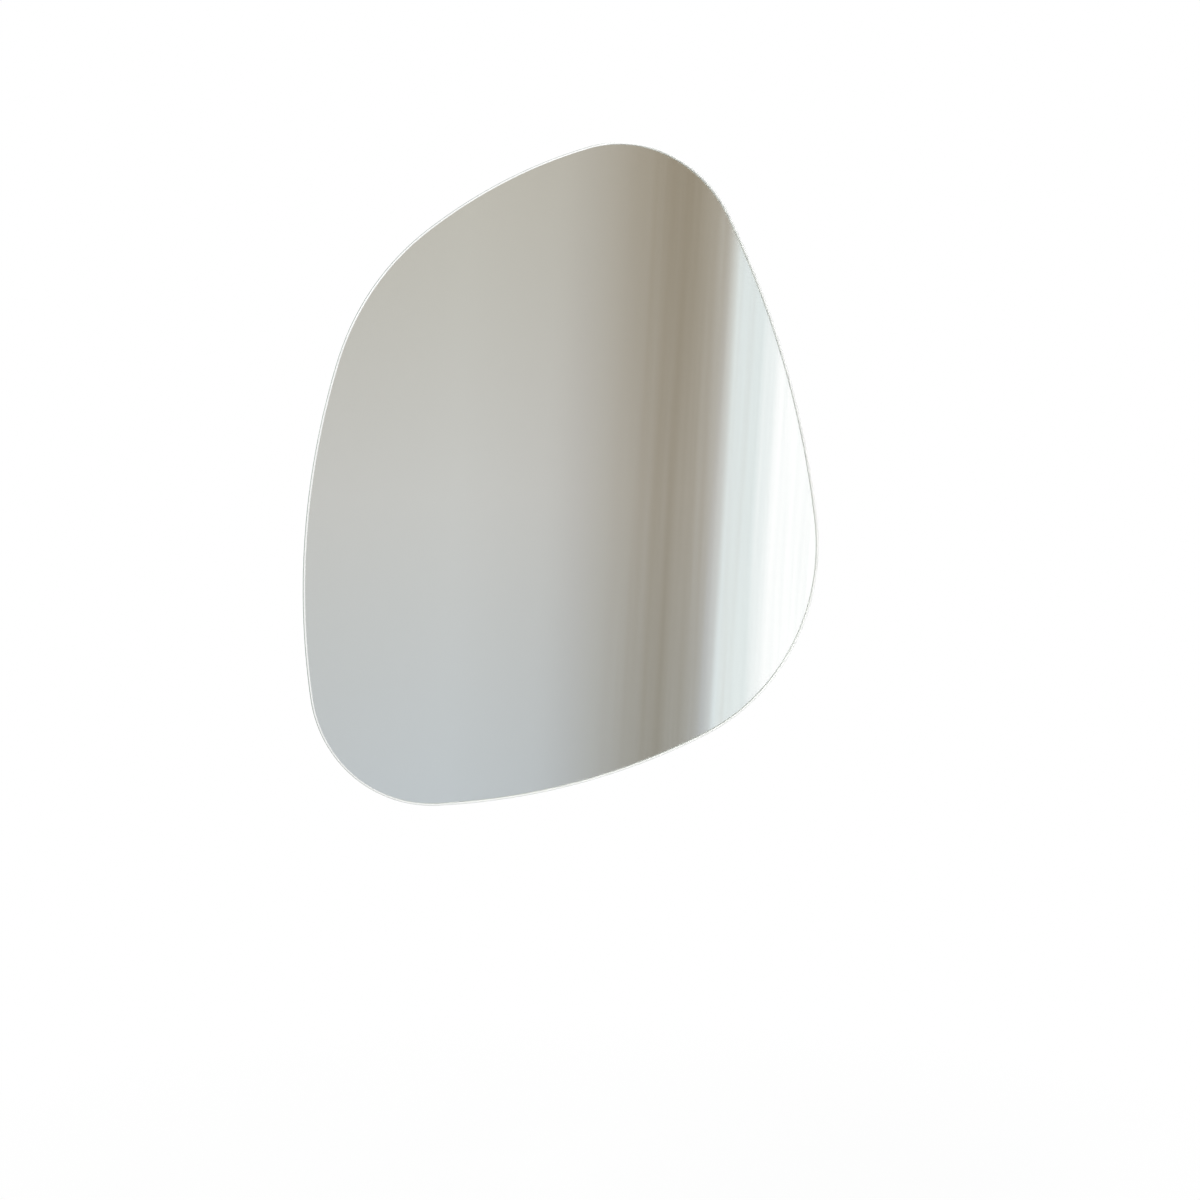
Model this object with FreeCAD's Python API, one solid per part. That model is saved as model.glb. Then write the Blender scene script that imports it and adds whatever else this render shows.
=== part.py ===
import FreeCAD, Part
import math
import os
from FreeCAD import Vector

os.makedirs("parts", exist_ok=True)

# A frameless wall mirror with a rounded, lopsided outline. It hangs on a pair of interlocking rails.
# Millimetres. The wall is the plane y = 0 and the mirror faces -Y, with +Z up and +X to the
# viewer's right. The origin is the middle of the wall rail's line of screw holes, on the wall.

# Outline of the glass, as eight arcs that run smoothly into each other. They go counter-clockwise
# as seen from the front and start with the top corner. A turn is the angle, in degrees, through
# which the edge swings along one arc, and a facing is a direction in degrees up from +X. The left
# and bottom sides take the radii that close the outline, and the right corner takes the turn left.
top_corner_facing_angle = 29.0
top_corner_radius = 160.0
top_corner_turn_angle = 79.0
upper_left_side_radius = 670.0
upper_left_side_turn_angle = 20.0
shoulder_radius = 320.0
shoulder_turn_angle = 34.0
left_side_turn_angle = 25.0
lower_left_corner_radius = 160.0
lower_left_corner_turn_angle = 81.0
bottom_side_turn_angle = 24.0
right_corner_radius = 255.0
right_side_radius = 1110.0
right_side_turn_angle = 21.0

# Glass and its back layers
glass_thickness = 5.0
glass_edge_radius = 2.2
silver_thickness = 0.1
film_thickness = 0.2
film_margin = 1.0

# Backing board, and the tape and adhesive that hold the glass on it
board_thickness = 9.0
board_inset = 55.0
board_edge_ease = 1.0
bond_thickness = 1.6
bond_inset = 15.0
tape_count = 4
tape_spacing = 120.0
tape_width = 19.0
bead_width = 10.0

# Interlocking rails. The screw holes of the wall rail lie level with the origin, and the two
# heights of its plate are measured from them, downwards and upwards.
gravity_centre_to_rail_height = 180.0
rail_thickness = 2.0
rail_gap = 0.3
rail_edge_radius = 0.6
rail_plate_lower_height = 11.0
rail_plate_upper_height = 9.0
rail_lip_height = 10.0
wall_rail_length = 240.0
hanger_rail_length = 280.0
wall_hole_diameter = 5.5
outer_hole_spacing = 200.0
inner_hole_spacing = 80.0

# Screws that hold the hanger rail and the bumpers on the board
screw_diameter = 3.5
screw_head_diameter = 7.0
screw_head_height = 2.2
screw_head_rounding = 1.0
screw_tip_length = 2.5
screw_tip_diameter = 0.7
screw_clearance = 0.3
pilot_clearance = 0.05
pilot_extra_depth = 0.4
recess_length = 3.6
recess_width = 0.8
recess_depth = 1.2
hanger_screw_count = 5
hanger_screw_end_distance = 20.0

# Board that is left between the screw tips and the front
screw_floor_thickness = 1.5

# Rubber bumpers, as deep as the two rails together, and their washers. Each stands where the
# outline has its facing.
bumper_top_facing_angle = 75.0
bumper_lower_left_facing_angle = 228.0
bumper_lower_right_facing_angle = 305.0
bumper_inset_from_board_edge = 25.0
bumper_board_diameter = 22.0
bumper_wall_diameter = 18.0
bumper_edge_radius = 1.0
bumper_screw_head_depth = 0.8
washer_diameter = 10.0
washer_thickness = 1.0
washer_clearance = 0.5

# The greatest share of a wall's thickness that one rounded edge may take
rounding_share = 0.45

# How close two levels are when they count as one
level_tolerance = 0.0001

# Distances out from the wall
lip_offset = 2 * (rail_thickness + rail_gap)
board_depth = lip_offset + 2 * rail_thickness + rail_gap
bond_depth = board_depth + board_thickness
film_depth = bond_depth + bond_thickness
silver_depth = film_depth + film_thickness
glass_depth = silver_depth + silver_thickness
screw_tip_depth = bond_depth - screw_floor_thickness
hanger_screw_seat = board_depth - rail_thickness
washer_seat = bumper_screw_head_depth + screw_head_height + washer_thickness
bumper_screw_seat = washer_seat - washer_thickness

# Distances in from the outline
silver_inset = glass_edge_radius
film_inset = silver_inset + film_margin
bond_edge_inset = board_inset + bond_inset
bumper_inset = board_inset + bumper_inset_from_board_edge

# Heights of the rail profile above its screw holes
lip_start = rail_plate_upper_height + lip_offset
lip_top = lip_start + rail_lip_height
hanger_hole_height = lip_top + rail_plate_upper_height + board_depth - lip_offset + rail_gap


def facing_direction(facing):
    angle = math.radians(facing)
    return Vector(math.cos(angle), 0, math.sin(angle))


def swing(facing, turn):
    # How far the edge moves along an arc of unit radius
    return facing_direction(facing + turn) - facing_direction(facing)


def cross(first, second):
    return first.x * second.z - first.z * second.x


def outline_turns():
    turns = {
        "top_corner": top_corner_turn_angle,
        "upper_left_side": upper_left_side_turn_angle,
        "shoulder": shoulder_turn_angle,
        "left_side": left_side_turn_angle,
        "lower_left_corner": lower_left_corner_turn_angle,
        "bottom_side": bottom_side_turn_angle,
        "right_corner": 0.0,
        "right_side": right_side_turn_angle,
    }
    turns["right_corner"] = 360.0 - sum(turns.values())
    return turns


def outline_radii(swings):
    radii = {
        "top_corner": top_corner_radius,
        "upper_left_side": upper_left_side_radius,
        "shoulder": shoulder_radius,
        "lower_left_corner": lower_left_corner_radius,
        "right_corner": right_corner_radius,
        "right_side": right_side_radius,
    }
    gap = Vector(0, 0, 0)
    for name, radius in radii.items():
        gap = gap + swings[name] * radius
    left, bottom = swings["left_side"], swings["bottom_side"]
    radii["left_side"] = cross(bottom, gap) / cross(left, bottom)
    radii["bottom_side"] = cross(gap, left) / cross(left, bottom)
    return radii


def outline_arcs():
    # Each arc is its centre, its radius, the direction it faces at its start, and its turn.
    turns = outline_turns()
    facings = {}
    facing = top_corner_facing_angle
    for name, turn in turns.items():
        facings[name] = facing
        facing = facing + turn
    swings = {name: swing(facings[name], turn) for name, turn in turns.items()}
    radii = outline_radii(swings)

    arcs = []
    start = Vector(0, 0, 0)
    for name, turn in turns.items():
        centre = start - facing_direction(facings[name]) * radii[name]
        start = start + swings[name] * radii[name]
        arcs.append((centre, radii[name], facings[name], turn))
    return arcs


def face_from_arcs(arcs, inset, depth):
    # The outline drawn in by the inset, as a flat face at a distance from the wall
    edges = []
    for centre, radius, facing, turn in arcs:
        middle = centre - Vector(0, depth, 0)
        facings = [facing, facing + turn / 2, facing + turn]
        points = [middle + facing_direction(each) * (radius - inset) for each in facings]
        edges.append(Part.Arc(*points).toShape())
    return Part.Face(Part.Wire(edges))


def balanced_arcs():
    # The glass hangs level because its centre of gravity is straight below the middle of the rail.
    arcs = outline_arcs()
    shift = Vector(0, 0, -gravity_centre_to_rail_height) - face_from_arcs(arcs, 0, 0).CenterOfMass
    return [(centre + shift, radius, facing, turn) for centre, radius, facing, turn in arcs]


glass_arcs = balanced_arcs()


def edge_point(facing, inset):
    # The place where the outline, drawn in by the inset, faces a given direction
    for centre, radius, start, turn in glass_arcs:
        beyond_start = (facing - start) % 360.0
        if beyond_start <= turn:
            return centre + facing_direction(facing) * (radius - inset)


def slab(inset, depth, thickness):
    return face_from_arcs(glass_arcs, inset, depth).extrude(Vector(0, -thickness, 0))


def rim_edges(shape, depth):
    # The edges that lie wholly at one distance from the wall
    edges = []
    for edge in shape.Edges:
        box = edge.BoundBox
        if max(abs(box.YMin + depth), abs(box.YMax + depth)) < level_tolerance:
            edges.append(edge)
    return edges


def rod(x, z, depth, length, diameter):
    # A round bar that starts at a distance from the wall and points away from it
    return Part.makeCylinder(diameter / 2, length, Vector(x, -depth, z), Vector(0, -1, 0))


def rail_bar(length):
    # A Z profile: a plate that lies on the wall, a slanted step away from it, and an upright lip
    slant = (math.sqrt(2) - 1) * rail_thickness
    profile = [
        (0, -rail_plate_lower_height),
        (0, rail_plate_upper_height),
        (lip_offset, lip_start),
        (lip_offset, lip_top),
        (lip_offset + rail_thickness, lip_top),
        (lip_offset + rail_thickness, lip_start - slant),
        (rail_thickness, rail_plate_upper_height - slant),
        (rail_thickness, -rail_plate_lower_height),
    ]
    corners = [Vector(-length / 2, -depth, height) for depth, height in profile]
    bar = Part.Face(Part.makePolygon(corners + corners[:1])).extrude(Vector(length, 0, 0))
    long_edges = [edge for edge in bar.Edges if edge.BoundBox.XLength > length / 2]
    return bar.makeFillet(min(rail_edge_radius, rail_thickness * rounding_share), long_edges)


def wall_hole_places():
    return [side * spacing / 2 for spacing in (outer_hole_spacing, inner_hole_spacing) for side in (-1, 1)]


def hanger_screw_places():
    span = hanger_rail_length - 2 * hanger_screw_end_distance
    pitch = span / (hanger_screw_count - 1)
    return [index * pitch - span / 2 for index in range(hanger_screw_count)]


def bumper_places():
    return {
        "bumper_top": edge_point(bumper_top_facing_angle, bumper_inset),
        "bumper_lower_left": edge_point(bumper_lower_left_facing_angle, bumper_inset),
        "bumper_lower_right": edge_point(bumper_lower_right_facing_angle, bumper_inset),
    }


def wall_rail():
    bar = rail_bar(wall_rail_length)
    holes = [rod(x, 0, 0, rail_thickness, wall_hole_diameter) for x in wall_hole_places()]
    return bar.cut(holes)


def hanger_rail():
    # The same profile as the wall rail, turned upside down and back to front
    bar = rail_bar(hanger_rail_length)
    bar.rotate(Vector(0, -board_depth / 2, hanger_hole_height / 2), Vector(1, 0, 0), 180)
    diameter = screw_diameter + screw_clearance
    holes = [rod(x, hanger_hole_height, hanger_screw_seat, rail_thickness, diameter)
             for x in hanger_screw_places()]
    return bar.cut(holes)


def screw(x, z, seat):
    # A pan-head screw whose head sits on a seat that faces the wall
    top = seat - screw_head_height
    head = rod(x, z, top, screw_head_height, screw_head_diameter)
    head = head.makeFillet(screw_head_rounding, rim_edges(head, top))
    tip_start = screw_tip_depth - screw_tip_length
    shank = rod(x, z, seat, tip_start - seat, screw_diameter)
    tip = Part.makeCone(screw_diameter / 2, screw_tip_diameter / 2, screw_tip_length,
                        Vector(x, -tip_start, z), Vector(0, -1, 0))
    middle = Vector(x, -(top + recess_depth), z)
    long_slot = middle - Vector(recess_length / 2, 0, recess_width / 2)
    tall_slot = middle - Vector(recess_width / 2, 0, recess_length / 2)
    cross_recess = [
        Part.makeBox(recess_length, recess_depth, recess_width, long_slot),
        Part.makeBox(recess_width, recess_depth, recess_length, tall_slot),
    ]
    return head.fuse([shank, tip]).removeSplitter().cut(cross_recess)


def pilot_hole(x, z):
    # A blind hole in the back of the board for a screw
    depth = screw_tip_depth + pilot_extra_depth - board_depth
    return rod(x, z, board_depth, depth, screw_diameter + 2 * pilot_clearance)


def backing_board():
    board = slab(board_inset, board_depth, board_thickness)
    rims = rim_edges(board, board_depth) + rim_edges(board, bond_depth)
    board = board.makeChamfer(board_edge_ease, rims)
    holes = [pilot_hole(x, hanger_hole_height) for x in hanger_screw_places()]
    holes += [pilot_hole(place.x, place.z) for place in bumper_places().values()]
    return board.cut(holes)


def safety_film():
    return slab(film_inset, film_depth, film_thickness)


def silver_coating():
    return slab(silver_inset, silver_depth, silver_thickness)


def glass_pane():
    # The ground and polished edge is rounded towards the front and the back.
    pane = slab(0, glass_depth, glass_thickness)
    rims = rim_edges(pane, glass_depth) + rim_edges(pane, glass_depth + glass_thickness)
    return pane.makeFillet(min(glass_edge_radius, glass_thickness * rounding_share), rims)


def upright_span(x, width):
    # The lowest and highest level that an upright strip can reach on the board's bonded area
    bonded = face_from_arcs(glass_arcs, bond_edge_inset, 0)
    box = bonded.BoundBox
    spans = []
    for side in (-1, 1):
        edge_x = x + side * width / 2
        upright = Part.makeLine(Vector(edge_x, 0, box.ZMin), Vector(edge_x, 0, box.ZMax))
        spans.append(upright.common(bonded).BoundBox)
    return max(span.ZMin for span in spans), min(span.ZMax for span in spans)


def tape_strip(x):
    low, high = upright_span(x, tape_width)
    corner = Vector(x - tape_width / 2, -(bond_depth + bond_thickness), low)
    return Part.makeBox(tape_width, bond_thickness, high - low, corner)


def adhesive_bead(x):
    # A bead pressed flat between board and glass, with round ends
    low, high = upright_span(x, bead_width)
    radius = bead_width / 2
    corner = Vector(x - radius, -(bond_depth + bond_thickness), low + radius)
    run = Part.makeBox(bead_width, bond_thickness, high - low - bead_width, corner)
    ends = [rod(x, z, bond_depth, bond_thickness, bead_width) for z in (low + radius, high - radius)]
    return run.fuse(ends).removeSplitter()


def bumper(place):
    foot = Part.makeCone(bumper_wall_diameter / 2, bumper_board_diameter / 2, board_depth,
                         Vector(place.x, 0, place.z), Vector(0, -1, 0))
    foot = foot.makeFillet(bumper_edge_radius, rim_edges(foot, 0))
    counterbore = rod(place.x, place.z, 0, washer_seat, washer_diameter + 2 * washer_clearance)
    hole = rod(place.x, place.z, 0, board_depth, screw_diameter + screw_clearance)
    return foot.cut([counterbore, hole])


def washer(place):
    disc = rod(place.x, place.z, bumper_screw_seat, washer_thickness, washer_diameter)
    hole = rod(place.x, place.z, bumper_screw_seat, washer_thickness, screw_diameter + screw_clearance)
    return disc.cut(hole)


def all_pieces():
    places = bumper_places()
    hanger_screws = [screw(x, hanger_hole_height, hanger_screw_seat) for x in hanger_screw_places()]
    bumper_screws = [screw(place.x, place.z, bumper_screw_seat) for place in places.values()]
    pieces = {
        "wall_rail": wall_rail(),
        "hanger_rail": hanger_rail(),
        "hanger_rail_screws": Part.makeCompound(hanger_screws),
        "backing_board": backing_board(),
        "safety_film": safety_film(),
        "silver_coating": silver_coating(),
        "glass_pane": glass_pane(),
        "bumper_washers": Part.makeCompound([washer(place) for place in places.values()]),
        "bumper_screws": Part.makeCompound(bumper_screws),
    }
    for name, place in places.items():
        pieces[name] = bumper(place)
    first_tape = -tape_spacing * (tape_count - 1) / 2
    for index in range(tape_count):
        pieces[f"tape_strip_{index + 1}"] = tape_strip(first_tape + index * tape_spacing)
    for index in range(tape_count - 1):
        bead_x = first_tape + (index + 0.5) * tape_spacing
        pieces[f"adhesive_bead_{index + 1}"] = adhesive_bead(bead_x)
    return pieces


for name, shape in all_pieces().items():
    shape.exportStep(f"parts/{name}.step")
    print(name, "solids", len(shape.Solids), "valid", shape.isValid(), "cm3", round(shape.Volume / 1000, 2))
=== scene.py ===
import math

import bmesh
import bpy
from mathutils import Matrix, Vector


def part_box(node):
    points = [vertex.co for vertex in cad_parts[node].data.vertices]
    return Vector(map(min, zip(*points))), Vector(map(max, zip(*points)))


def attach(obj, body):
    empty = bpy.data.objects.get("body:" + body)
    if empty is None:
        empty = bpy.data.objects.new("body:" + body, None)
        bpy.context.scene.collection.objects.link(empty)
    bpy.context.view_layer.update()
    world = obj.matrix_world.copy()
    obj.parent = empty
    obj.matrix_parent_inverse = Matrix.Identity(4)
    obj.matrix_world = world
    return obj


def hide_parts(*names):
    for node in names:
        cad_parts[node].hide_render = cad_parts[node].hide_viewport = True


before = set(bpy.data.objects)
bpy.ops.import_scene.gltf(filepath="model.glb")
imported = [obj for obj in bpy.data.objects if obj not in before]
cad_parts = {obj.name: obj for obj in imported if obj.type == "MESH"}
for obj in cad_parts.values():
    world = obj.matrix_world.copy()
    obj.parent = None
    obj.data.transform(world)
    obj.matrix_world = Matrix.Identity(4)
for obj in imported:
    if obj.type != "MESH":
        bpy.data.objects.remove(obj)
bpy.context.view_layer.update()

# A frameless mirror that hangs on a pair of rails. Metres, front towards -Y, wall plane at y = 0.

glassLow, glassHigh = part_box("glass_pane")
glassCentre = (glassLow + glassHigh) / 2


def fromScreen(red, green, blue):
    # a colour as a paint chart gives it, 0 to 255, as the linear colour that shaders take
    linear = [((part / 255 + 0.055) / 1.055) ** 2.4 for part in (red, green, blue)]
    return (*linear, 1.0)


def addNode(tree, kind, inputs=None, **settings):
    item = tree.nodes.new("ShaderNode" + kind)
    for name, value in settings.items():
        setattr(item, name, value)
    for name, value in (inputs or {}).items():
        if isinstance(value, bpy.types.NodeSocket):
            tree.links.new(value, item.inputs[name])
        else:
            item.inputs[name].default_value = value
    return item


def objectPlace(tree, stretch=(1, 1, 1)):
    place = addNode(tree, "TexCoord").outputs["Object"]
    return addNode(tree, "Mapping", {"Vector": place, "Scale": stretch}).outputs["Vector"]


def noise(tree, scale, detail=4, stretch=(1, 1, 1), roughness=0.5):
    values = {"Scale": scale, "Detail": detail, "Roughness": roughness}
    return addNode(tree, "TexNoise", {"Vector": objectPlace(tree, stretch), **values}).outputs["Fac"]


def spread(tree, value, low, high, fromLow=0.3, fromHigh=0.7):
    # most of a noise lies between 0.3 and 0.7; a plan's range may end with another pair to start from
    values = {"Value": value, "From Min": fromLow, "From Max": fromHigh, "To Min": low, "To Max": high}
    return addNode(tree, "MapRange", values).outputs["Result"]


def ramp(tree, value, stops):
    item = addNode(tree, "ValToRGB", {"Fac": value})
    while len(item.color_ramp.elements) < len(stops):
        item.color_ramp.elements.new(1.0)
    for element, (position, colour) in zip(item.color_ramp.elements, stops):
        element.position = position
        element.color = colour
    return item.outputs["Color"]


def mixColours(tree, share, first, second, blend="MIX"):
    values = {"Fac": share, "Color1": first, "Color2": second}
    return addNode(tree, "MixRGB", values, blend_type=blend).outputs["Color"]


def shaded(tree, colour, shade):
    return mixColours(tree, 1.0, colour, shade, "MULTIPLY")


def compute(tree, operation, *values):
    return addNode(tree, "Math", dict(enumerate(values)), operation=operation).outputs["Value"]


def bump(tree, height, distance, under=None):
    values = {"Height": height, "Distance": distance, "Strength": 1.0}
    if under:
        values["Normal"] = under
    return addNode(tree, "Bump", values).outputs["Normal"]


def newMaterial(name):
    material = bpy.data.materials.new(name)
    material.use_nodes = True
    material.node_tree.nodes.clear()
    return material, material.node_tree


def finishMaterial(tree, shader):
    addNode(tree, "OutputMaterial", {"Surface": shader.outputs[0]})


def finishPrincipled(tree, values):
    finishMaterial(tree, addNode(tree, "BsdfPrincipled", values))


def wallFacing(tree):
    # 1 where a face looks at the wall and -1 where it looks away from it
    normal = addNode(tree, "TexCoord").outputs["Normal"]
    return addNode(tree, "SeparateXYZ", {0: normal}).outputs["Y"]


def give(piece, material):
    piece.data.materials.clear()
    piece.data.materials.append(material)


cameraPlace = {
    "azimuth": -20.0,        # degrees round from straight in front, minus is to the left
    "elevation": 1.5,
    "distance": 2.019,
    "aim": (-0.020, 0.0),    # the point it circles, right and up from the middle of the glass
    "pictureCentre": (0.031, -0.1573),    # the point in the middle of the picture, given the same way
    "fieldOfView": 40.0,
}


def onGlass(offset):
    return Vector((glassCentre.x + offset[0], glassLow.y, glassCentre.z + offset[1]))


def addCamera(plan):
    around = math.radians(plan["azimuth"])
    up = math.radians(plan["elevation"])
    towards = Vector((math.sin(around) * math.cos(up), -math.cos(around) * math.cos(up), math.sin(up)))
    lens = bpy.data.cameras.new("camera")
    lens.angle = math.radians(plan["fieldOfView"])
    camera = bpy.data.objects.new("camera", lens)
    camera.location = onGlass(plan["aim"]) + towards * plan["distance"]
    look = onGlass(plan["pictureCentre"]) - camera.location
    camera.rotation_euler = look.to_track_quat("-Z", "Y").to_euler()
    bpy.context.scene.collection.objects.link(camera)
    bpy.context.scene.camera = camera


addCamera(cameraPlace)
print("camera placed")


worldLight = {"background": 1.0, "onObject": (0.95, 0.97, 1.0, 1.0), "strength": 0.55}


def seenDirectly(tree):
    # 1 where the eye, a reflection or a view through glass meets the background
    path = addNode(tree, "LightPath").outputs
    seen = compute(tree, "ADD", path["Is Camera Ray"], path["Is Glossy Ray"])
    return compute(tree, "MINIMUM", compute(tree, "ADD", seen, path["Is Transmission Ray"]), 1.0)


def addWorld(plan):
    world = bpy.data.worlds.new("studio")
    bpy.context.scene.world = world
    world.use_nodes = True
    tree = world.node_tree
    tree.nodes.clear()
    lighting = addNode(tree, "Background", {"Color": plan["onObject"], "Strength": plan["strength"]})
    backdrop = addNode(tree, "Background", {"Color": (1, 1, 1, 1), "Strength": plan["background"]})
    shaders = {0: seenDirectly(tree), 1: lighting.outputs[0], 2: backdrop.outputs[0]}
    mix = addNode(tree, "MixShader", shaders)
    addNode(tree, "OutputWorld", {"Surface": mix.outputs[0]})


lamps = {
    "keyFrontLeft": {"place": (-2.6, -2.2, 2.4), "size": 1.6, "power": 78},
    "fillFrontRight": {"place": (3.0, -1.6, 1.6), "size": 1.8, "power": 58},
    "keyBack": {"place": (1.8, 2.6, 2.2), "size": 1.6, "power": 60},
    "fillBackLeft": {"place": (-2.6, 2.2, 0.9), "size": 1.8, "power": 31},
}


def addLamp(name, plan):
    light = bpy.data.lights.new(name, "AREA")
    light.shape = "DISK"
    light.size = plan["size"]
    light.energy = plan["power"]
    lamp = bpy.data.objects.new(name, light)
    lamp.location = plan["place"]
    lamp.rotation_euler = (glassCentre - lamp.location).to_track_quat("-Z", "Y").to_euler()
    bpy.context.scene.collection.objects.link(lamp)


def newPiece(name, mesh, body=None):
    data = bpy.data.meshes.new(name)
    mesh.to_mesh(data)
    mesh.free()
    piece = bpy.data.objects.new(name, data)
    bpy.context.scene.collection.objects.link(piece)
    if body:
        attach(piece, body)
    return piece


floorPlan = {
    "height": -1.65,
    "size": 30.0,
    "colour": fromScreen(236, 236, 234),
    "shadowReach": (0.7, 2.2),    # the floor fades from lit to plain white over these distances
    "glow": 0.7,                  # the share of plain white where it is lit
    "grainScale": 3.0,
    "grainShade": (0.97, 1.0),
}


def addFloor(plan):
    mesh = bmesh.new()
    bmesh.ops.create_grid(mesh, x_segments=8, y_segments=8, size=plan["size"])
    bmesh.ops.translate(mesh, verts=mesh.verts, vec=(0, 0, plan["height"]))
    floor = newPiece("studioFloor", mesh)
    material, tree = newMaterial("paleFloor")
    grain = spread(tree, noise(tree, plan["grainScale"]), *plan["grainShade"])
    matt = addNode(tree, "BsdfDiffuse", {"Color": shaded(tree, plan["colour"], grain)})
    white = addNode(tree, "Emission", {"Color": (1, 1, 1, 1), "Strength": 1.0})
    flatPlace = objectPlace(tree, (1, 1, 0))
    away = addNode(tree, "VectorMath", {0: flatPlace}, operation="LENGTH").outputs["Value"]
    share = spread(tree, away, plan["glow"], 1.0, *plan["shadowReach"])
    share = compute(tree, "MULTIPLY", seenDirectly(tree), share)
    finishMaterial(tree, addNode(tree, "MixShader", {0: share, 1: matt.outputs[0], 2: white.outputs[0]}))
    give(floor, material)


roomSweep = {
    "radius": 3.0,
    "low": -1.64,
    "high": 2.4,
    "strength": 1.12,
    "gamma": 2.2,    # the shades below are as a screen shows them
    "lean": 0.95,    # degrees that the light leans to the right for each metre up
    "shades": [      # degrees round to the right from straight ahead, and how light the room is there
        (-85, 0.84), (-60, 0.70), (-35, 0.80), (-8, 0.75), (13.9, 0.777), (19.3, 0.752),
        (22.2, 0.692), (24.6, 0.625), (25.9, 0.585), (26.9, 0.60), (27.7, 0.63), (28.4, 0.675),
        (28.8, 0.715), (29.1, 0.78), (29.4, 0.86), (29.7, 0.905), (30.4, 0.885), (31.0, 0.90),
        (31.5, 0.93), (31.9, 0.965), (32.4, 1.0), (47, 1.0), (50, 0.86), (58, 0.70), (85, 0.80),
    ],
    "foldEvery": 0.45,    # degrees between fine upright folds
    "foldShade": 0.12,         # how much the folds darken
    "foldDrift": 0.3,          # how fast they change with height
    "folded": (22.0, 26.0),    # they fade in between these angles
    "tints": [       # warm in the shade and cool in the light
        (0.58, (1.03, 0.982, 0.892, 1)), (0.72, (1.003, 0.992, 0.965, 1)),
        (0.9, (0.975, 1.005, 1.005, 1)), (1.0, (1.0, 1.0, 1.0, 1)),
    ],
    "upDown": [      # height, and the light there
        (-1.3, (0.96, 0.99, 1.03, 1)), (-0.3, (1.0, 0.997, 1.0, 1)), (0.7, (0.96, 0.938, 0.905, 1)),
    ],
    "evenFrom": (28.8, 29.8),    # beyond these angles the light doesn't change with height
    "steps": 96,
}


def roomColour(tree, plan):
    # upright bands of light and shade that lean a little, tinted by how light they are
    axes = addNode(tree, "SeparateXYZ", {0: addNode(tree, "TexCoord").outputs["Object"]}).outputs
    ahead = compute(tree, "MULTIPLY", axes["Y"], -1.0)
    around = compute(tree, "DEGREES", compute(tree, "ARCTAN2", axes["X"], ahead))
    leaned = compute(tree, "SUBTRACT", around, compute(tree, "MULTIPLY", axes["Z"], plan["lean"]))
    greys = [((angle + 90) / 180, (grey, grey, grey, 1)) for angle, grey in plan["shades"]]
    shade = ramp(tree, spread(tree, leaned, 0.0, 1.0, -90.0, 90.0), greys)
    drift = compute(tree, "MULTIPLY", axes["Z"], plan["foldDrift"])
    values = {"Vector": addNode(tree, "CombineXYZ", {0: leaned, 2: drift}).outputs[0],
              "Scale": 1 / plan["foldEvery"], "Detail": 2.0}
    folds = addNode(tree, "TexNoise", values).outputs["Fac"]
    depth = spread(tree, leaned, 0.0, plan["foldShade"], *plan["folded"])
    dip = compute(tree, "MULTIPLY", compute(tree, "SUBTRACT", folds, 0.5), depth)
    shade = shaded(tree, shade, compute(tree, "ADD", 1.0, dip))
    colour = shaded(tree, shade, ramp(tree, shade, plan["tints"]))
    low, high = plan["upDown"][0][0], plan["upDown"][-1][0]
    stops = [((height - low) / (high - low), tone) for height, tone in plan["upDown"]]
    upDown = ramp(tree, spread(tree, axes["Z"], 0.0, 1.0, low, high), stops)
    uneven = spread(tree, leaned, 1.0, 0.0, *plan["evenFrom"])
    colour = mixColours(tree, uneven, colour, upDown, "MULTIPLY")
    return addNode(tree, "Gamma", {"Color": colour, "Gamma": plan["gamma"]}).outputs["Color"]


def addRoomSweep(plan):
    # half a round wall in front of the mirror, which only reflections show
    mesh = bmesh.new()
    start = [mesh.verts.new((-plan["radius"], 0, plan[level])) for level in ("low", "high")]
    edge = mesh.edges.new(start)
    bmesh.ops.spin(mesh, geom=start + [edge], cent=(0, 0, 0), axis=(0, 0, 1), angle=math.pi,
                   steps=plan["steps"])
    sweep = newPiece("roomSweep", mesh)
    material, tree = newMaterial("softRoom")
    values = {"Color": roomColour(tree, plan), "Strength": plan["strength"]}
    finishMaterial(tree, addNode(tree, "Emission", values))
    give(sweep, material)
    sweep.visible_camera = False
    sweep.visible_diffuse = False
    sweep.visible_shadow = False


addWorld(worldLight)
for name, plan in lamps.items():
    addLamp(name, plan)
addFloor(floorPlan)
addRoomSweep(roomSweep)
bpy.context.scene.view_settings.view_transform = "Standard"
print("studio placed")


outlinePlan = {      # arcs counter-clockwise from the front: radius, and degrees that the edge turns
    "facing": 29.0,    # where the edge faces at the start, 0 is right and 90 is up
    "arcs": [(0.160, 79.0), (0.670, 20.0), (0.320, 34.0), (None, 25.0), (0.160, 81.0), (None, 24.0),
             (0.255, 76.0), (1.110, 21.0)],
    "pointEvery": 0.003,
    "joinWithin": 0.00015,    # points closer than this are one
    "ringShare": 0.2,         # the flat ring inside a rounded rim, as a share of the rounding
}


def facingDirection(facing):
    return Vector((math.cos(math.radians(facing)), 0, math.sin(math.radians(facing))))


def swing(facing, turn):
    return facingDirection(facing + turn) - facingDirection(facing)


def crossOf(one, two):
    return one.x * two.z - one.z * two.x


def closedArcs(plan):
    # the two arcs without a radius get the ones that bring the outline back to its start
    facing, gap, sides = plan["facing"], Vector((0, 0, 0)), []
    for radius, turn in plan["arcs"]:
        if radius is None:
            sides.append(swing(facing, turn))
        else:
            gap += swing(facing, turn) * radius
        facing += turn
    left, bottom = sides
    closing = [crossOf(bottom, gap) / crossOf(left, bottom), crossOf(gap, left) / crossOf(left, bottom)]
    return [(radius or closing.pop(0), turn) for radius, turn in plan["arcs"]]


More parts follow.
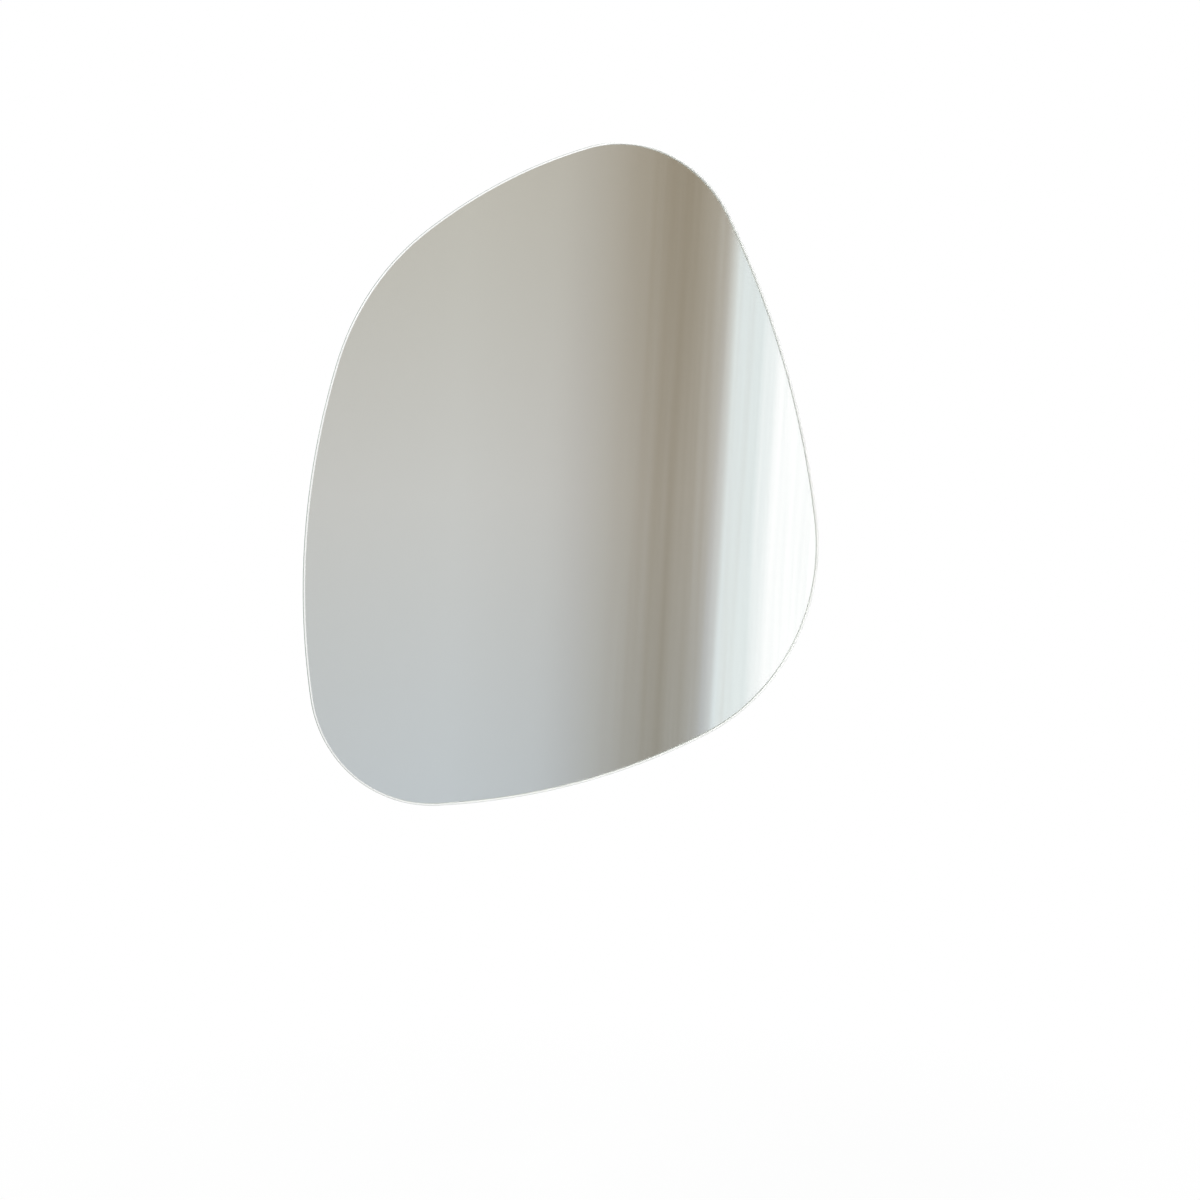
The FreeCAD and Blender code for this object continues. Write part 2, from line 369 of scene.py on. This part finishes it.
def placedArcs(plan):
    # each arc as centre, radius, facing and turn, placed so that the outline fits the glass's box
    arcs, start, facing = [], Vector((0, 0, 0)), plan["facing"]
    for radius, turn in closedArcs(plan):
        centre = start - facingDirection(facing) * radius
        arcs.append((centre, radius, facing, turn))
        start = start + swing(facing, turn) * radius
        facing += turn
    left = next(centre.x - radius for centre, radius, facing, turn in arcs
                if facing <= 180 <= facing + turn)
    lowest = next(centre.z - radius for centre, radius, facing, turn in arcs
                  if facing <= 270 <= facing + turn)
    shift = Vector((glassLow.x - left, 0, glassLow.z - lowest))
    return [(centre + shift, radius, facing, turn) for centre, radius, facing, turn in arcs]


glassArcs = placedArcs(outlinePlan)


def vertsOf(geometry):
    return [item for item in geometry if isinstance(item, bmesh.types.BMVert)]


def outlineLoop(mesh, inset, depth):
    # one edge loop, spun arc by arc, in a plane at that depth
    centre, radius, facing, turn = glassArcs[0]
    tip = mesh.verts.new(centre + facingDirection(facing) * (radius - inset) + Vector((0, depth, 0)))
    for centre, radius, facing, turn in glassArcs:
        steps = round(math.radians(turn) * radius / outlinePlan["pointEvery"])
        made = bmesh.ops.spin(mesh, geom=[tip], cent=centre, axis=(0, -1, 0),
                              angle=math.radians(turn), steps=steps)
        tip = vertsOf(made["geom_last"])[0]
    bmesh.ops.remove_doubles(mesh, verts=mesh.verts, dist=outlinePlan["joinWithin"])


def makeSlab(name, body, low, high, inset, rounding=0.0, steps=4):
    # a flat plate of the outline's shape, with rounded rims where rounding is given
    mesh = bmesh.new()
    outlineLoop(mesh, inset, low)
    face = bmesh.ops.contextual_create(mesh, geom=mesh.edges)["faces"]
    raised = bmesh.ops.extrude_face_region(mesh, geom=face)["geom"]
    bmesh.ops.translate(mesh, verts=vertsOf(raised), vec=(0, high - low, 0))
    bmesh.ops.recalc_face_normals(mesh, faces=mesh.faces)
    rims = [edge for edge in mesh.edges if edge.verts[0].co.y == edge.verts[1].co.y]
    if rounding:
        bmesh.ops.bevel(mesh, geom=rims, offset=rounding, offset_type="OFFSET", affect="EDGES",
                        segments=steps, profile=0.5, material=-1)
    for face in mesh.faces:
        face.smooth = True
    flats = [face for face in mesh.faces if len(face.verts) > 4]    # the rim has four-sided faces only
    if rounding:
        ring = rounding * outlinePlan["ringShare"]
        bmesh.ops.inset_individual(mesh, faces=flats, thickness=ring, depth=0)
    for face in flats:
        face.smooth = False
    if not rounding:
        for edge in rims:
            edge.smooth = False
    return newPiece(name, mesh, body)


def takeOver(piece, *nodes):
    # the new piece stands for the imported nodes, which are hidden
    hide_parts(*nodes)


glassPlan = {
    "edgeRadius": 0.0022,
    "edgeSteps": 9,
    "clearOfSilver": 0.00004,
    "insideCadBox": 0.00012,
    "flatFrom": 0.9999,    # a face this square to the wall is clear, the others are rim
    "refraction": 1.52,
    "tints": [(0.3, (0.975, 0.982, 0.978, 1)), (0.7, (0.980, 0.985, 0.983, 1))],
    "tintPatches": {"scale": 2.0, "detail": 2},
    "smudges": {"scale": 9.0, "detail": 6},
    "roughness": (0.0, 0.012, 0.45, 0.75),
}
rimPlan = {
    "tones": [    # how far the rim faces the wall, from -1 at the front to 1, and its colour there; the grey band is painted shade where it faces outwards
        (-0.70, fromScreen(252, 252, 250)), (-0.56, fromScreen(142, 153, 145)),
        (0.3, fromScreen(142, 153, 145)), (0.6, fromScreen(226, 229, 225)),
    ],
    "streaks": {"scale": 420.0, "detail": 3, "stretch": (1.0, 6.0, 1.0)},
    "streakShade": (0.95, 1.0),
    "streakDepth": 0.00003,
    "roughness": (0.16, 0.26),
    "clearness": 0.08,
    "refraction": 1.52,
}
silverPlan = {
    "tones": [(0.3, (0.925, 0.928, 0.925, 1)), (0.7, (0.938, 0.938, 0.935, 1))],
    "tonePatches": {"scale": 1.5, "detail": 3},
    "haze": {"scale": 30.0, "detail": 5},
    "roughness": (0.0, 0.006, 0.5, 0.8),
}
paintPlan = {
    "colour": fromScreen(120, 124, 126),
    "clouds": {"scale": 160.0, "detail": 5},
    "cloudShade": (0.85, 1.05),
    "cloudDepth": 0.00002,
    "roughness": (0.4, 0.6),
}


def glassMaterial(plan):
    material, tree = newMaterial("floatGlass")
    finishPrincipled(tree, {
        "Base Color": ramp(tree, noise(tree, **plan["tintPatches"]), plan["tints"]),
        "Roughness": spread(tree, noise(tree, **plan["smudges"]), *plan["roughness"]),
        "IOR": plan["refraction"], "Transmission Weight": 1.0})
    return material


def rimMaterial(plan):
    # ground and polished: it scatters some light, and painted shade makes it greyest at its outermost
    # line
    material, tree = newMaterial("polishedRim")
    streaks = noise(tree, **plan["streaks"])
    stops = [((facing + 1) / 2, tone) for facing, tone in plan["tones"]]
    # painted shade: the colour turns grey where the rim faces outwards, as if in shade
    colour = ramp(tree, spread(tree, wallFacing(tree), 0.0, 1.0, -1.0, 1.0), stops)
    finishPrincipled(tree, {
        "Base Color": shaded(tree, colour, spread(tree, streaks, *plan["streakShade"])),
        "Roughness": spread(tree, streaks, *plan["roughness"]),
        "IOR": plan["refraction"], "Transmission Weight": plan["clearness"],
        "Normal": bump(tree, streaks, plan["streakDepth"])})
    return material


def silverMaterial(plan):
    material, tree = newMaterial("silverLayer")
    finishPrincipled(tree, {
        "Base Color": ramp(tree, noise(tree, **plan["tonePatches"]), plan["tones"]),
        "Metallic": 1.0,
        "Roughness": spread(tree, noise(tree, **plan["haze"]), *plan["roughness"])})
    return material


def backPaintMaterial(plan):
    material, tree = newMaterial("backPaint")
    clouds = noise(tree, **plan["clouds"])
    finishPrincipled(tree, {
        "Base Color": shaded(tree, plan["colour"], spread(tree, clouds, *plan["cloudShade"])),
        "Roughness": spread(tree, clouds, *plan["roughness"]),
        "Normal": bump(tree, clouds, plan["cloudDepth"])})
    return material


def makeGlassPane(plan):
    back = glassHigh.y - plan["clearOfSilver"]
    pane = makeSlab("glassPane", "mirror", glassLow.y, back, plan["insideCadBox"],
                    plan["edgeRadius"], plan["edgeSteps"])
    pane.data.materials.append(glassMaterial(plan))
    pane.data.materials.append(rimMaterial(rimPlan))
    for face in pane.data.polygons:
        face.material_index = 0 if abs(face.normal.y) > plan["flatFrom"] else 1
    pane.visible_shadow = False    # light passes through the clear glass to its rim
    takeOver(pane, "glass_pane")


def makeSilver(plan):
    low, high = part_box("silver_coating")
    silver = makeSlab("silverCoating", "mirror", low.y, high.y, low.x - glassLow.x)
    silver.data.materials.append(silverMaterial(plan))
    silver.data.materials.append(backPaintMaterial(paintPlan))
    for face in silver.data.polygons:
        face.material_index = 0 if face.normal.y < -0.5 else 1    # silver in front, paint behind
    takeOver(silver, "silver_coating")


makeGlassPane(glassPlan)
makeSilver(silverPlan)
print("glass and silver made")


filmPlan = {
    "colour": fromScreen(206, 211, 214),
    "thread": fromScreen(228, 231, 232),
    "threadEvery": 0.0032,
    "threadWaver": 0.6,
    "threadDepth": 0.00006,
    "wrinkles": {"scale": 16.0, "detail": 5, "stretch": (1.0, 1.0, 0.45), "roughness": 0.45},
    "wrinkleDepth": 0.0007,
    "blotches": {"scale": 5.0, "detail": 4},
    "blotchShade": (0.94, 1.02),
    "roughness": (0.34, 0.5),
    "coat": 0.15,
}
boardPlan = {
    "rounding": 0.0011,
    "tones": [
        (0.38, fromScreen(141, 110, 78)), (0.48, fromScreen(168, 134, 98)),
        (0.62, fromScreen(184, 152, 116)),
    ],
    "fibres": {"scale": 1400.0, "detail": 6, "roughness": 0.75},
    "clumps": {"scale": 620.0, "detail": 5, "roughness": 0.7},
    "fibreDepth": 0.00012,
    "clouds": {"scale": 7.0, "detail": 4},
    "cloudShade": (0.93, 1.04),
    "edgeShade": (0.72, 1.0, 0.4, 0.95),    # the sawn edge is darker than the faces
    "roughness": (0.72, 0.9),
    "shine": 0.3,
}


def bands(tree, axis, period, waver):
    # ridges across one axis, a period apart
    ownPeriod = math.tau / 20    # of the texture at a scale of 1
    values = {"Vector": addNode(tree, "TexCoord").outputs["Object"], "Scale": ownPeriod / period,
              "Distortion": waver, "Detail": 1.0, "Detail Scale": 0.4}
    return addNode(tree, "TexWave", values, bands_direction=axis).outputs["Fac"]


def filmMaterial(plan):
    material, tree = newMaterial("wovenSafetyFilm")
    across, upright = [bands(tree, axis, plan["threadEvery"], plan["threadWaver"]) for axis in "XZ"]
    threads = compute(tree, "MAXIMUM", across, upright)
    blotches = noise(tree, **plan["blotches"])
    woven = spread(tree, threads, 0.0, 1.0, 0.5, 1.0)
    colour = mixColours(tree, woven, plan["colour"], plan["thread"])
    waves = bump(tree, noise(tree, **plan["wrinkles"]), plan["wrinkleDepth"])
    finishPrincipled(tree, {
        "Base Color": shaded(tree, colour, spread(tree, blotches, *plan["blotchShade"])),
        "Roughness": spread(tree, blotches, *plan["roughness"]), "Coat Weight": plan["coat"],
        "Normal": bump(tree, threads, plan["threadDepth"], under=waves)})
    return material


def boardMaterial(plan):
    material, tree = newMaterial("fineFibreboard")
    both = compute(tree, "ADD", noise(tree, **plan["fibres"]), noise(tree, **plan["clumps"]))
    fibres = compute(tree, "MULTIPLY", both, 0.5)
    clouds = noise(tree, **plan["clouds"])
    colour = shaded(tree, ramp(tree, fibres, plan["tones"]), spread(tree, clouds, *plan["cloudShade"]))
    flat = spread(tree, compute(tree, "ABSOLUTE", wallFacing(tree)), *plan["edgeShade"])
    finishPrincipled(tree, {
        "Base Color": shaded(tree, colour, flat), "Specular IOR Level": plan["shine"],
        "Roughness": spread(tree, fibres, *plan["roughness"]),
        "Normal": bump(tree, fibres, plan["fibreDepth"])})
    return material


def makeFilm(plan):
    low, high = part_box("safety_film")
    film = makeSlab("safetyFilm", "mirror", low.y, high.y, low.x - glassLow.x)
    give(film, filmMaterial(plan))
    takeOver(film, "safety_film")


def makeBoard(plan):
    low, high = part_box("backing_board")
    board = makeSlab("backingBoard", "mirror", low.y, high.y, low.x - glassLow.x, plan["rounding"])
    give(board, boardMaterial(plan))
    takeOver(board, "backing_board")


makeFilm(filmPlan)
makeBoard(boardPlan)
print("film and board made")


tapePlan = {
    "rounding": 0.0004,
    "cuts": 4,
    "colour": fromScreen(236, 235, 229),
    "cells": 1500.0,
    "cellShade": (0.86, 1.0, 0.1, 0.7),
    "cellDepth": 0.0001,
    "roughness": (0.95, 0.8, 0.1, 0.7),
}
beadPlan = {
    "rounding": 0.0006,
    "cuts": 80,
    "swell": 0.12,
    "ripples": [(9, 0.3), (24.3, 0.2)],    # waves along the bead, and how strong they are
    "leastEnd": 0.25,
    "colour": fromScreen(216, 208, 190),
    "clouds": {"scale": 120.0, "detail": 4},
    "cloudShade": (0.9, 1.04),
    "cloudDepth": 0.0002,
    "roughness": (0.3, 0.5),
    "milkiness": 0.2,
    "lightDepth": 0.002,    # how far light goes into it
}
stripPlan = {"cornerAngle": 0.6, "roundingSteps": 3}    # edges sharper than this angle are rounded


def foamMaterial(plan):
    material, tree = newMaterial("foamTape")
    values = {"Vector": objectPlace(tree), "Scale": plan["cells"]}
    cells = addNode(tree, "TexVoronoi", values).outputs["Distance"]
    finishPrincipled(tree, {
        "Base Color": shaded(tree, plan["colour"], spread(tree, cells, *plan["cellShade"])),
        "Roughness": spread(tree, cells, *plan["roughness"]),
        "Normal": bump(tree, cells, plan["cellDepth"])})
    return material


def adhesiveMaterial(plan):
    material, tree = newMaterial("curedAdhesive")
    clouds = noise(tree, **plan["clouds"])
    finishPrincipled(tree, {
        "Base Color": shaded(tree, plan["colour"], spread(tree, clouds, *plan["cloudShade"])),
        "Roughness": spread(tree, clouds, *plan["roughness"]),
        "Subsurface Weight": plan["milkiness"], "Subsurface Scale": plan["lightDepth"],
        "Normal": bump(tree, clouds, plan["cloudDepth"])})
    return material


def beadWidth(along, slimness, plan):
    # a share of the full width: round at the ends, with sides that swell in and out
    ends = math.sqrt(max(0.0, 1 - abs(2 * along - 1) ** slimness))
    ripple = sum(strength * math.sin(waves * math.tau * along) for waves, strength in plan["ripples"])
    return max(plan["leastEnd"], ends) * (1 - plan["swell"] * (0.5 + ripple))


def makeStrip(name, node, plan):
    # an upright strip that fills the node's box
    low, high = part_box(node)
    middle, size = (low + high) / 2, high - low
    mesh = bmesh.new()
    bmesh.ops.create_cube(mesh, size=1.0)
    bmesh.ops.scale(mesh, verts=mesh.verts, vec=size)
    bmesh.ops.translate(mesh, verts=mesh.verts, vec=middle)
    upright = [edge for edge in mesh.edges if abs(edge.verts[0].co.z - edge.verts[1].co.z) > size.z / 2]
    bmesh.ops.subdivide_edges(mesh, edges=upright, cuts=plan["cuts"])
    if "swell" in plan:
        for vert in mesh.verts:
            width = beadWidth((vert.co.z - low.z) / size.z, size.z / size.x, plan)
            vert.co.x = middle.x + (vert.co.x - middle.x) * width
    corners = [edge for edge in mesh.edges if edge.calc_face_angle(0) > stripPlan["cornerAngle"]]
    bmesh.ops.bevel(mesh, geom=corners, offset=plan["rounding"], affect="EDGES",
                    segments=stripPlan["roundingSteps"], profile=0.5, material=-1)
    for face in mesh.faces:
        face.smooth = True
    piece = newPiece(name, mesh, "mirror")
    takeOver(piece, node)
    return piece


def makeBond():
    foam, adhesive = foamMaterial(tapePlan), adhesiveMaterial(beadPlan)
    for node in sorted(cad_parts):
        if node.startswith("tape_strip"):
            give(makeStrip(node.replace("tape_strip", "tapeStrip"), node, tapePlan), foam)
        elif node.startswith("adhesive_bead"):
            give(makeStrip(node.replace("adhesive_bead", "adhesiveBead"), node, beadPlan), adhesive)


makeBond()
print("tape and adhesive made")


railPlan = {
    "colour": (0.58, 0.59, 0.61, 1),
    "shade": (0.44, 0.45, 0.475, 1),
    "lines": {"scale": 1400.0, "detail": 4, "stretch": (0.012, 1.0, 1.0), "roughness": 0.6},
    "lineDepth": 0.00002,
    "scuffs": {"scale": 60.0, "detail": 8, "roughness": 0.75},
    "scuffShade": (0.9, 1.0, 0.35, 0.6),
    "roughness": (0.28, 0.42),
    "drawnOut": 0.35,    # how much longer its highlights are one way
}


def railMaterial(plan):
    material, tree = newMaterial("extrudedAluminium")
    lines, scuffs = noise(tree, **plan["lines"]), noise(tree, **plan["scuffs"])
    colour = mixColours(tree, spread(tree, lines, 0.0, 1.0), plan["shade"], plan["colour"])
    dull = compute(tree, "MULTIPLY", compute(tree, "ADD", lines, scuffs), 0.5)
    finishPrincipled(tree, {
        "Base Color": shaded(tree, colour, spread(tree, scuffs, *plan["scuffShade"])),
        "Metallic": 1.0, "Roughness": spread(tree, dull, *plan["roughness"]),
        "Anisotropic": plan["drawnOut"], "Normal": bump(tree, lines, plan["lineDepth"])})
    return material


aluminium = railMaterial(railPlan)
for node in ("wall_rail", "hanger_rail"):
    give(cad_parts[node], aluminium)
print("rails dressed")


zincPlan = {
    "warm": (0.66, 0.60, 0.43, 1),
    "cool": (0.56, 0.58, 0.60, 1),
    "clouds": {"scale": 240.0, "detail": 5},
    "grit": {"scale": 2600.0, "detail": 3},
    "gritDepth": 0.00001,
    "roughness": (0.2, 0.36),
}


def zincMaterial(plan):
    material, tree = newMaterial("brightZinc")
    clouds, grit = noise(tree, **plan["clouds"]), noise(tree, **plan["grit"])
    finishPrincipled(tree, {
        "Base Color": mixColours(tree, spread(tree, clouds, 0.0, 1.0), plan["warm"], plan["cool"]),
        "Metallic": 1.0, "Roughness": spread(tree, grit, *plan["roughness"]),
        "Normal": bump(tree, grit, plan["gritDepth"])})
    return material


zinc = zincMaterial(zincPlan)
for node in ("hanger_rail_screws", "bumper_screws", "bumper_washers"):
    give(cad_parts[node], zinc)
print("screws and washers dressed")


bumperPlan = {
    "colour": fromScreen(38, 38, 40),
    "dustColour": fromScreen(78, 77, 75),
    "dust": {"scale": 220.0, "detail": 6},
    "dustShare": (0.0, 0.5, 0.5, 0.8),
    "stipple": {"scale": 3200.0, "detail": 3},
    "stippleDepth": 0.00003,
    "roughness": (0.62, 0.82),
}


def rubberMaterial(plan):
    material, tree = newMaterial("mattRubber")
    stipple = noise(tree, **plan["stipple"])
    dusty = spread(tree, noise(tree, **plan["dust"]), *plan["dustShare"])
    finishPrincipled(tree, {
        "Base Color": mixColours(tree, dusty, plan["colour"], plan["dustColour"]),
        "Roughness": spread(tree, stipple, *plan["roughness"]),
        "Normal": bump(tree, stipple, plan["stippleDepth"])})
    return material


rubber = rubberMaterial(bumperPlan)
for node in ("bumper_top", "bumper_lower_left", "bumper_lower_right"):
    give(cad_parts[node], rubber)
print("bumpers dressed")
